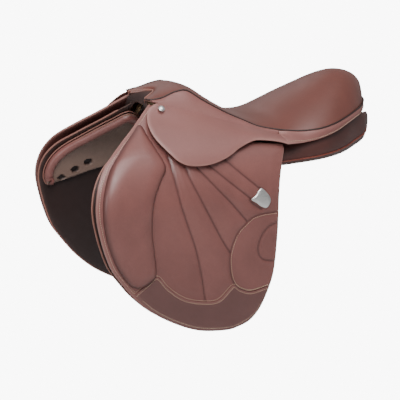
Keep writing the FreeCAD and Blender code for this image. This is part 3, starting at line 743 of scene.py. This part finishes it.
def flap_relief(points, edge):
    """Height of the flap's face: grooves at the fan seams with soft pillows between them."""
    points = np.asarray(points, float)
    near = np.full(len(points), 200.0)
    height = rolled_edge(edge, 1.8, 6)
    for line in FAN_LINES:
        away = distance_to(points, line)
        near = np.minimum(near, away)
        height -= 1.9 * np.exp(-(away / 2.4) ** 2)
    calm = np.clip(np.minimum(distance_to(points, INSET_LINE), distance_to(points, WEAR_LINE)) / 18, 0, 1)
    calm *= ~inside(points, INSET_LINE + [(22, -235), (22, -97)]) * ~inside(points, WEAR_RING)
    height += 2.0 * (1 - np.exp(-(near / 14) ** 2)) * calm * np.clip(edge / 20, 0, 1)
    for line in (INSET_LINE, INNER_LINE):
        height += groove(points, line, 1.2, 2.2)
    return height


def roll_height(points, edge):
    """Height of the knee roll: a full round roll, fuller at its front."""
    high = np.array([z for _, z in points])
    return lifted_face(ROLL_RISE)(edge, 27) * np.clip((80 - high) / 60, 0.12, 1)


def flat_height(points, edge):
    """No relief."""
    return np.zeros(len(edge))


def beside(line, distance):
    """A line moved to one side, along the flap."""
    moved = []
    for i, p in enumerate(line):
        a, b = np.array(line[max(i - 1, 0)]), np.array(line[min(i + 1, len(line) - 1)])
        way = (b - a) / max(np.linalg.norm(b - a), 1e-6)
        moved.append((p[0] - way[1] * distance, p[1] + way[0] * distance))
    return moved


def laid(line, depth):
    """A flat line laid on the side at a depth."""
    return [on_side(x, z, depth) for x, z in line]


def build_flap(word, side):
    """The flap with its knee roll, wear band, keeper shield and stitching."""
    body = word + "_flap"
    # Painted shade along the fan and inset seams, and over the flap's whole back face.
    flap = leaf(word + " flap leather", side, FLAP_RING, 2.4, layer_place(flap_relief, 0.6),
                layer_place(lambda points, edge: -rolled_edge(edge, 1.2, 5), FLAP_THICK),
                FAN_LINES + [INSET_LINE, INNER_LINE],
                flesh=0.9)
    dress(flap, FLAP_LEATHER, body, word + "_flap", word + "_flap_face")
    # Painted shade all round the knee roll's base, in the valley beside it.
    roll = leaf(word + " knee roll leather", side, ROLL_RING, 3, layer_place(roll_height, -0.6),
                layer_place(flat_height, -0.4),
                [ROLL_RING + ROLL_RING[:1]], seam_width=5.0)
    roll.data.attributes["edge"].data.foreach_set("value", [0.0] * len(roll.data.vertices))
    dress(roll, FLAP_LEATHER, body, word + "_knee_roll")
    band = leaf(word + " wear band leather", side, WEAR_RING, 4,
                layer_place(lambda points, edge: 1.4 + rolled_edge(edge, 1.2, 3), -0.9),
                layer_place(flat_height, -0.3))
    dress(band, BAND_LEATHER, body, word + "_wear_band")
    shield = leaf(word + " keeper shield", side, smooth_line(SHIELD, 3, closed=True), 3,
                  layer_place(lambda points, edge: lifted_face(1.8)(edge, 4), -1.6),
                  layer_place(flat_height, -0.9))
    dress(shield, BADGE_METAL, body, word + "_keeper_plate")
    edge_line = [p for p in FLAP_RING if p[0] < -40 and p[1] < 96 and p not in FLAP_TOP]
    front = [p for p in edge_line if p[1] > -214]
    sewing = [laid(beside(front, offset), 0.2) for offset in (5.0, 8.2)]
    sewing += [laid(beside(WEAR_LINE, 2.6), 0.2), laid(beside(WEAR_LINE, -3.0), -2.4)]
    sewing += [laid(beside(INSET_LINE, 2.4), 0.4), laid(beside(WEAR_RING[len(WEAR_LINE) + 3:], -3.0), -2.2)]
    sew(word + " flap stitching", body, side, sewing)


# ---------- skirt ----------

def lobe_point(x, z, depth):
    """A point of the lifting skirt, moved in by depth."""
    y = skirt_y(x, z)
    slope = (skirt_y(x, z + 2) - skirt_y(x, z - 2)) / 4
    out = Vector((0, 1, -slope)).normalized()
    return Vector((x, y, z)) - out * depth


def saddled_point(p, x):
    """A point of the tail moved to the height of the lifting skirt's surface at its rear edge."""
    pairs = [(y, z) for z, y in skirt_line(TAIL_FRONT_X)][::-1]
    start = (WELT_WIDTH(x) + 1.5, WELT_Z(x) - 0.5)
    pairs = [start] + [pair for pair in pairs if pair[0] > start[0] + 2]
    return Vector((p.x, p.y, float(np.interp(p.y, [q[0] for q in pairs], [q[1] for q in pairs]))))


def build_skirt(word, side):
    """The lifting skirt, its nail, and the fixed band and tail along the seat."""
    top = [(x, fold_at(x)[2] + 0.9) for x in [LOBE_REAR_X] + list(range(44, -178, -8))]
    cut = smooth_line(LOBE_EDGE, 5)
    # The skirt's back face is painted dark, as shade under it.
    lobe = leaf(word + " skirt leather", side, cut + top, 3.4,
                lambda points, edge: [lobe_point(x, z, -r) for (x, z),
                                      r in zip(points, rolled_edge(edge, 1.1, 4))],
                lambda points, edge: [lobe_point(x, z, 2.6) for x, z in points], border=cut, flesh=0.9)
    dress(lobe, SKIRT_LEATHER, word + "_skirt", word + "_skirt")
    low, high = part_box(word + "_saddle_nail")
    centre = (low + high) / (2 * MM)
    centre.y = abs(centre.y)
    out = Vector((0, HALF_ROOT, HALF_ROOT))
    across, up = Vector((1, 0, 0)), out.cross(Vector((1, 0, 0)))
    rings = []
    for rise, reach in ((-1.4, 6.0), (-0.2, 6.0), (0.4, 5.4), (0.5, 4.8), (1.3, 4.2), (1.9, 2.9), (2.1, 1.2)):
        turns = [2 * math.pi * i / 24 for i in range(24)]
        rings.append([centre + out * rise + (across * math.cos(t) + up * math.sin(t)) * reach for t in turns])
    dress(ring_solid(word + " saddle nail head", side, rings), BADGE_METAL, word + "_skirt",
          word + "_saddle_nail")

    band = []
    for x, width, welt_z, _ in smooth_line(SEAT, 4):
        if -184 < x < 50:
            _, fold_y, fold_z = fold_at(x)
            start, end = Vector((x, width + 2.0, welt_z - 0.5)), Vector((x, fold_y + 0.9, fold_z + 0.9))
            band.append([start.lerp(end, t / 5) + Vector((0, 1, 1)) * 1.2 * math.sin(math.pi * t / 5)
                         for t in range(6)])
    front = thick_sheet(word + " skirt band", side, band, 2.4, worn=False)
    knots = [(*top, *foot) for top, foot in zip(TAIL_TOP, TAIL_FOOT)]
    tail = []
    for wx, wy, wz, fx, fy, fz in fixed_curve(knots, 6):
        start, end = Vector((wx, wy + 1.5, wz - 0.5)), Vector((fx, fy, fz))
        out = Vector((0.5 if wx > 250 else 0, 1, 0.6)).normalized()
        row = [start.lerp(end, t / 8) + out * 2.0 * math.sin(math.pi * t / 8) for t in range(9)]
        if wx < 90:
            share = (90 - wx) / 40
            row = [p.lerp(saddled_point(p, wx), min(share, 1) * (1 - (t / 8) ** 3)) for t,
                   p in enumerate(row)]
        tail.append(row)
    rear = thick_sheet(word + " skirt tail", side, tail, 2.4)
    dress(joined(word + " skirt band and tail", [front, rear]), SKIRT_LEATHER, "root", word + "_skirt_band")
    foot = [row[-2] + Vector((0.3, 0.8, 0.2)) for row in tail[2:-6]]
    sew(word + " tail stitching", "root", side, [foot])


# ---------- under the flap ----------

def build_under(word, side):
    """Sweat flap, girth straps, buckle guard and blocks."""
    ring = smooth_line(FLAP_EDGE, 6)
    ring = [p for p in ring if p[0] < 23] + [(23, -52), (20, 5), (-168, 5), (-186, 40), (-186, 96)]
    sweat = leaf(word + " sweat flap leather", side, ring, 6,
                 layer_place(lambda p, e: rolled_edge(e, 0.8, 4), SWEAT_OUT),
                 layer_place(lambda p, e: -rolled_edge(e, 0.8, 4), SWEAT_IN))
    dress(sweat, LINING_LEATHER, "root", word + "_sweat_flap")
    outline = [p for p in ring if p[0] < 22 and p[1] < 90]
    cord = tube(word + " sweat flap edging", laid(outline[:-3], 22.4), 1.7, side)
    dress(cord, WELT_LEATHER, "root")
    for place, x in (("front", -108), ("middle", -70), ("rear", -32)):
        dress(girth_strap(word, place, side, x), STRAP_LEATHER, word + "_" + place + "_billet",
              word + "_" + place + "_billet")
    guard_ring = smooth_line([(-116, -80), (-70, -79), (-24, -80), (-21, -118), (-26, -152), (-70, -157),
                              (-114, -152), (-119, -118)],
                             5, closed=True)
    guard = leaf("guard", side, guard_ring, 6, layer_place(lambda p, e: rolled_edge(e, 0.8, 4), 8.4),
                 layer_place(flat_height, 11.2))
    loops = [leaf("loop", side, [(a, -128), (b, -128), (b, -104), (a, -104)], 6,
                  layer_place(flat_height, top),
                  layer_place(flat_height, low)) for a, b, top, low in
             ((-85, -55, 16.9, 18.4), (-85, -83.6, 11, 16.9), (-56.4, -55, 11, 16.9))]
    dress(joined(word + " buckle guard leather", [guard] + loops), STRAP_LEATHER, word + "_buckle_guard",
          word + "_buckle_guard")
    blocks = (("knee", [(-292, -4), (-304, -55), (-299, -105), (-280, -150), (-262, -152), (-272, -105),
                        (-276, -55), (-272, -4)]),
              ("thigh", [(0, -92), (13, -96), (14, -140), (8, -188), (-4, -190), (-2, -140)]))
    for kind, line in blocks:
        pad = leaf(word + " " + kind + " block leather", side, smooth_line(line, 4, closed=True), 4,
                   layer_place(lambda p, e: lifted_face(9.5)(e, 9), 19.4), layer_place(flat_height, 20.4))
        dress(pad, STRAP_LEATHER, "root", word + "_" + kind + "_block")


def girth_strap(word, place, side, x):
    """A girth strap with six punched holes and a tapered end."""
    half = STRAP_HALF
    turns = [2 * math.pi * (i + 0.5) / 16 for i in range(16)]
    bm = bmesh.new()
    faces = []

    def corner(px, pz, depth):
        return bm.verts.new(on_side(px, pz, depth) * MM)

    def wall(a, b):
        bm.faces.new([corner(*a, STRAP_OUT), corner(*b, STRAP_OUT), corner(*b, STRAP_IN),
                      corner(*a, STRAP_IN)])

    for low in range(-268, -142 + 1, STRAP_PITCH):
        middle = low + STRAP_PITCH / 2
        frame, rim = [], []
        for t in turns:
            reach = half / max(abs(math.cos(t)), abs(math.sin(t)))
            frame.append((x + reach * math.cos(t), middle + reach * math.sin(t)))
            rim.append((x + STRAP_HOLE_R * math.cos(t), middle + STRAP_HOLE_R * math.sin(t)))
        for i in range(16):
            j = (i + 1) % 16
            faces.append(([frame[i], frame[j], rim[j], rim[i]], [rim[i], rim[j]]))
    for depth in (STRAP_OUT, STRAP_IN):
        for quad, _ in faces:
            bm.faces.new([corner(px, pz, depth) for px, pz in quad])
    for _, (a, b) in faces:
        wall(a, b)
    rows = [(2, half), (-20, half), (-42, half), (-64, half), (-86, half), (-108, half), (-118, half)]
    tip = [(-267.5, half), (-272, 9), (-277, 6.2), (-280, 5)]
    for depth in (STRAP_OUT, STRAP_IN):
        for line in (rows, tip):
            for (za, wa), (zb, wb) in zip(line, line[1:]):
                bm.faces.new([corner(px, pz, depth) for px, pz in ((x - wa, za), (x + wa, za), (x + wb, zb),
                                                                   (x - wb, zb))])
    whole = rows + tip
    for sign in (-1, 1):
        for (za, wa), (zb, wb) in zip(whole, whole[1:]):
            wall((x + sign * wa, za), (x + sign * wb, zb))
    for z, w in (whole[0], whole[-1]):
        wall((x - w, z), (x + w, z))
    if side < 0:
        for v in bm.verts:
            v.co.y = -v.co.y
    bmesh.ops.remove_doubles(bm, verts=bm.verts[:], dist=1e-5)
    bmesh.ops.recalc_face_normals(bm, faces=bm.faces[:])
    name = word + "_" + place + "_girth_strap"
    mesh = bpy.data.meshes.new(name)
    bm.to_mesh(mesh)
    bm.free()
    return put_in_scene(name, mesh)


# ---------- panels ----------

def build_panel(word, side):
    """The wool-stuffed panel, its forward part with vent holes, and its piping."""
    rings = []
    flat = [[s[0]] + [c for point in s[1:] for c in point] for s in PANEL]
    for row in fixed_curve(flat, 5):
        points = [(row[0], row[1 + 2 * i], row[2 + 2 * i]) for i in range(6)]
        rings.append([tuple(p) for p in fixed_curve(points, 5, closed=True)])
    first, last = rings[0], rings[-1]
    ends = []
    for ring, push in ((first, -3.0), (last, 4.0)):
        middle = np.mean(np.array(ring), axis=0)
        ends.append([tuple(middle + (np.array(p) - middle) * 0.72 + np.array([push, 0, 0])) for p in ring])
    panel = ring_solid(word + " stuffed panel", side, [ends[0]] + rings + [ends[1]])
    dress(panel, PANEL_LEATHER, "root", word + "_panel", word + "_panel_wool")
    welt = []
    for ring in rings[12:]:
        spot, middle = np.array(ring[14]), np.mean(np.array(ring), axis=0)
        welt.append(tuple(spot + (spot - middle) / np.linalg.norm(spot - middle) * 0.7))
    dress(tube(word + " panel welt", welt, 1.5, side), RED_WELT_LEATHER, "root")
    ring = smooth_line(PANEL_FRONT[:9], 4) + smooth_line(PANEL_FRONT[8:], 5)[1:]
    half = lifted_face(5.0)
    facing = leaf(word + " forward panel", side, ring, 2.6, layer_place(lambda p, e: half(e, 8), 31),
                  layer_place(lambda p, e: vent_dip(p) - half(e, 8), 31.0))
    # Painted shade in the vent holes, on the facing's back face.
    dips = vent_dip(patch(ring, 2.6)[0])
    facing.data.attributes["seam"].data.foreach_set("value",
                                                    np.concatenate([dips * 0,
                                                                    dips * 0.25]).astype(np.float32))
    dress(facing, FACING_LEATHER, "root", word + "_panel_front")
    front = [p for p in ring[1:70] if p[1] > -78]
    roll = tube(word + " forward panel roll", laid(beside(front, 7.5), 33.0), 8.5, side, sides=16)
    dress(roll, FLAP_LEATHER, "root")
    for number, (offset, depth) in enumerate(((-1.5, 27.0), (0.5, 31.0))):
        dress(tube(word + " panel piping " + str(number + 1), laid(beside(front, offset), depth), 1.3,
                   side), WELT_LEATHER, "root")


def vent_dip(points):
    """How deep the vent holes of the forward panel go."""
    points = np.asarray(points, float)
    dip = np.zeros(len(points))
    for x, z, reach in VENTS:
        away = np.linalg.norm(points - np.array([x, z]), axis=1)
        dip += 5.0 * (away < reach)
    return dip


# ---------- seat and centre ----------

def cut_back(x, s):
    """How far the pommel's front edge is set back towards the middle of the seat."""
    return 34.0 * max(-112 - x, 0) / 76 * (1 - abs(s) ** 1.5)


def build_seat():
    """The seat leather, its piping, the pommel facing and the lining of the channel."""
    rows = []
    for x, width, welt_z, centre_z in fixed_curve(SEAT, 8) + [np.array((285.5, 2.0, 61.5, 80.0))]:
        row = []
        for j in range(-36, 37):
            s = j / 36
            s = math.copysign(1 - (1 - abs(s)) ** 1.25, s)
            crown = max(1 - abs(s) ** 2.1, 0) ** 0.85
            row.append((x + cut_back(x, s), s * width, welt_z + crown * (centre_z - welt_z)))
        row = [(x, -width, welt_z - 3.8)] + row + [(x, width, welt_z - 3.8)]
        rows.append(row)
    front = [(p[0] - 0.5, p[1] * 0.98, p[2] - 4.5) for p in rows[0]]
    seat = thick_sheet("seat leather", 1, [front] + rows, 2.4)
    dress(seat, SEAT_LEATHER, "root", "seat_cover", "seat_foam")
    half = []
    line = fixed_curve([s[:3] for s in SEAT], 4)
    for i, (x, width, welt_z) in enumerate(line):
        a, b = line[max(i - 1, 0)], line[min(i + 1, len(line) - 1)]
        way = Vector((b[0] - a[0], b[1] - a[1], 0)).normalized()
        half.append(Vector((x - way.y * 1.9, width + way.x * 1.9, welt_z + 0.2)))
    path = half + [Vector((286, 0, 61.2))] + [Vector((p.x, -p.y, p.z)) for p in reversed(half)]
    # The seat piping is nearly black: painted shade for the dark crease along the welt.
    dress(tube("seat piping", path, 1.5), SEAT_WELT_SHADE_LEATHER, "root", "seat_welt")
    outer = fixed_curve([(-183, 74, 61), (-184, 62, 74), (-185, 50, 88), (-184, 38, 103), (-168, 20, 109),
                         (-155, 0, 110)], 4)
    inner = fixed_curve([(-180, 60, 59), (-180, 52, 66), (-180, 39, 77), (-180, 26, 86), (-179, 14, 89),
                         (-179, 0, 89)], 4)
    arch = []
    for start, end in zip(outer, inner):
        line = [start + (end - start) * t / 5 for t in range(6)]
        arch.append([(p[0] - 5.5 * math.sin(math.pi * t / 5), p[1], p[2]) for t, p in enumerate(line)])
    arch += [[(p[0], -p[1], p[2]) for p in row] for row in reversed(arch[:-1])]
    rim = []
    for j in range(-20, 21):
        part = j / 20
        crown = max(1 - abs(part) ** 2.1, 0) ** 0.85
        rim.append((-189.5 + cut_back(-188, part), 38.5 * part, 105.5 + 6 * crown))
    dress(tube("pommel piping", rim, 1.6), WELT_LEATHER, "root")
    dress(thick_sheet("pommel facing leather", 1, arch, 2.6, facing=Vector((-1, 0, 0.2))), LINING_LEATHER,
          "root", "pommel_facing")
    low = fixed_curve([(-150, 72), (-110, 48), (-60, 18), (-25, 3), (-5, 0), (60, 0), (120, 0), (190, 1),
                       (230, 7), (260, 17)], 4)
    strip = [[(x, y, z + 2.5 + 0.6 * math.cos(math.pi * y / 34)) for y in (-17, -11, -5, 0, 5, 11, 17)]
             for x, z in low]
    dress(thick_sheet("channel lining", 1, strip, 2.8, facing=Vector((0, 0, 1))), LINING_LEATHER, "root",
          "gullet_lining")


# ---------- carried-over pieces ----------

def dress_cad():
    """Materials for the pieces that keep their CAD shape."""
    finish = {"tree_frame": BEECH, "tree_point": BEECH, "gullet_plate": FORGED_STEEL,
              "gullet_screws": FORGED_STEEL,
              "head_plate": FORGED_STEEL, "tree_rivets": FORGED_STEEL, "bar_catch_pins": FORGED_STEEL,
              "seat_webs": WEBBING,
              "spring_steel": SPRING_STEEL, "stirrup_bar": FORGED_STEEL, "bar_catch": FORGED_STEEL,
              "point_pocket": LINING_LEATHER,
              "girth_web": WEBBING}
    for name, node in frame["nodes"].items():
        short = name.replace("near_", "").replace("off_", "")
        material = finish.get(short, FOAM)
        node.data.materials.clear()
        node.data.materials.append(material)


# ---------- studio ----------

def build_studio():
    """Pale floor, soft lamps and the camera."""
    bpy.ops.mesh.primitive_plane_add(size=30, location=(0, 0, -0.5))
    floor = bpy.context.object
    floor.name = "studio floor"
    material, tree, shader = new_material("pale floor")
    shader.inputs["Base Color"].default_value = (0.55, 0.55, 0.55, 1)
    shader.inputs["Roughness"].default_value = 0.9
    glow = add(tree, "ShaderNodeEmission", {"Color": (1, 1, 1, 1), "Strength": 9.0})
    seen = add(tree, "ShaderNodeLightPath")
    both = add(tree, "ShaderNodeMixShader",
               {0: seen.outputs["Is Camera Ray"], 1: shader.outputs[0], 2: glow.outputs[0]})
    tree.links.new(both.outputs[0], tree.nodes["Material Output"].inputs["Surface"])
    floor.data.materials.append(material)
    world = bpy.context.scene.world or bpy.data.worlds.new("studio")
    bpy.context.scene.world = world
    world.use_nodes = True
    world.node_tree.nodes["Background"].inputs[0].default_value = (1, 1, 1, 1)
    world.node_tree.nodes["Background"].inputs[1].default_value = 0.4
    lamps = (("overhead", (-0.2, -0.9, 2.0), 1.6, 38), ("key", (-0.8, -1.4, 1.4), 0.8, 23),
             ("front strip", (-2.2, -0.9, 0.5), 0.8, 12), ("far rim", (0.2, 1.8, 1.4), 1.2, 3))
    for name, place, size, power in lamps:
        lamp = bpy.data.lights.new(name, "AREA")
        lamp.size, lamp.energy = size, power
        holder = put_in_scene(name, lamp)
        holder.location = place
        holder.rotation_euler = (Vector((0, 0, -0.05)) - Vector(place)).to_track_quat("-Z", "Y").to_euler()
    turn, rise = math.radians(CAMERA_AZIMUTH), math.radians(CAMERA_RISE)
    back = Vector((math.sin(turn) * math.cos(rise), -math.cos(turn) * math.cos(rise), math.sin(rise)))
    camera = bpy.data.cameras.new("camera")
    camera.lens, camera.sensor_width = CAMERA_LENS, 36
    camera.dof.use_dof = False
    holder = put_in_scene("camera", camera)
    right = Vector((math.cos(turn), math.sin(turn), 0))
    target = Vector(SEAT_MIDDLE) - right * CAMERA_LEFT + right.cross(back) * CAMERA_DOWN
    holder.location = Vector(SEAT_MIDDLE) + back * CAMERA_DISTANCE
    holder.rotation_euler = (holder.location - target).to_track_quat("Z", "Y").to_euler()
    bpy.context.scene.camera = holder


for side_word, side_sign in SIDES:
    build_flap(side_word, side_sign)
    build_skirt(side_word, side_sign)
    build_under(side_word, side_sign)
    build_panel(side_word, side_sign)
build_seat()
dress_cad()
build_studio()
